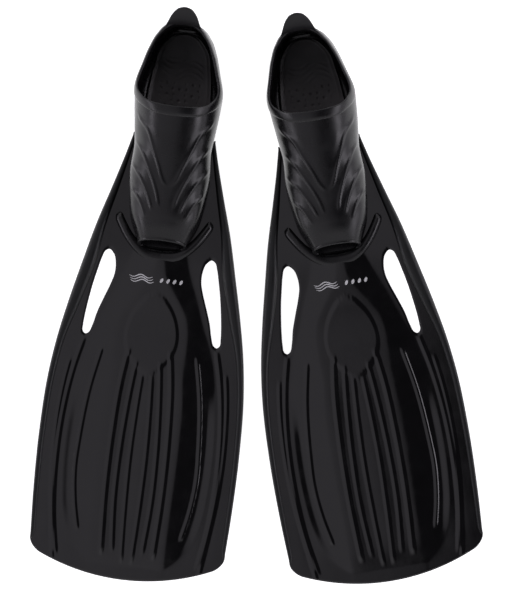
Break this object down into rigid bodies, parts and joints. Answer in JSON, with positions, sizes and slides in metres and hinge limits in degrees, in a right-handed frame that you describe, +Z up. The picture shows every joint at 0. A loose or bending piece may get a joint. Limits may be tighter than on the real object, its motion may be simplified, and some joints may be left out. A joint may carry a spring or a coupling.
{
  "type": "pair of swim fins",
  "caption": "Pair of full-foot snorkelling fins: closed rubber foot pockets with heel tabs, stiff vented blades with long ribs and soft side rails.",
  "frame": {"origin": "centre of the pair's footprint, on the floor the fins lie on", "axes": "+Y towards the heels, -Y towards the blade tips, +Z up from the floor; the left-hand fin is on -X"},
  "size_m": [0.4888, 0.6202, 0.0972],
  "materials": {
    "blade_plastic": "glossy black polypropylene",
    "plate_plastic": "satin black polypropylene",
    "rail_rubber": "matte black thermoplastic rubber",
    "pocket_rubber": "satin black thermoplastic rubber with soft relief",
    "collar_rubber": "satin black rubber",
    "tab_rubber": "matte black rubber",
    "insole_foam": "dull black embossed rubber",
    "sole_rubber": "matte black rubber with cross grooves"
  },
  "bodies": {
    "left_foot": {"left_foot_pocket": "pocket_rubber", "left_opening_collar": "collar_rubber", "left_insole": "insole_foam", "left_foot_plate": "plate_plastic", "left_outsole": "sole_rubber", "left_toe_bead": "pocket_rubber"},
    "left_blade": {"left_blade": "blade_plastic", "left_outer_rail": "rail_rubber", "left_inner_rail": "rail_rubber"},
    "left_tab": {"left_heel_tab": "tab_rubber"},
    "right_foot": {"right_foot_pocket": "pocket_rubber", "right_opening_collar": "collar_rubber", "right_insole": "insole_foam", "right_foot_plate": "plate_plastic", "right_outsole": "sole_rubber", "right_toe_bead": "pocket_rubber"},
    "right_blade": {"right_blade": "blade_plastic", "right_outer_rail": "rail_rubber", "right_inner_rail": "rail_rubber"},
    "right_tab": {"right_heel_tab": "tab_rubber"}
  },
  "joints": [
    {"name": "left_blade_flex", "type": "hinge", "parent": "left_foot", "child": "left_blade", "pos_m": [-0.10347, 0.04005, 0.0365], "axis": [0.9934, -0.1149, 0], "range_deg": [-35, 35], "stiffness_Nm_per_rad": 30, "deforming": ["left_outer_rail", "left_inner_rail"]},
    {"name": "left_heel_tab_flex", "type": "hinge", "parent": "left_foot", "child": "left_tab", "pos_m": [-0.07433, 0.29187, 0.07695], "axis": [0.9934, -0.1149, 0], "range_deg": [-35, 60], "stiffness_Nm_per_rad": 0.4},
    {"name": "right_blade_flex", "type": "hinge", "parent": "right_foot", "child": "right_blade", "pos_m": [0.08896, 0.0366, 0.0365], "axis": [0.9866, 0.1633, 0], "range_deg": [-35, 35], "stiffness_Nm_per_rad": 30, "deforming": ["right_outer_rail", "right_inner_rail"]},
    {"name": "right_heel_tab_flex", "type": "hinge", "parent": "right_foot", "child": "right_tab", "pos_m": [0.04755, 0.28669, 0.07695], "axis": [0.9866, 0.1633, 0], "range_deg": [-35, 60], "stiffness_Nm_per_rad": 0.4},
    {"name": "right_fin_lift", "type": "slide", "parent": "left_foot", "child": "right_foot", "axis": [0, 0, 1], "range_m": [0, 0.25]}
  ]
}
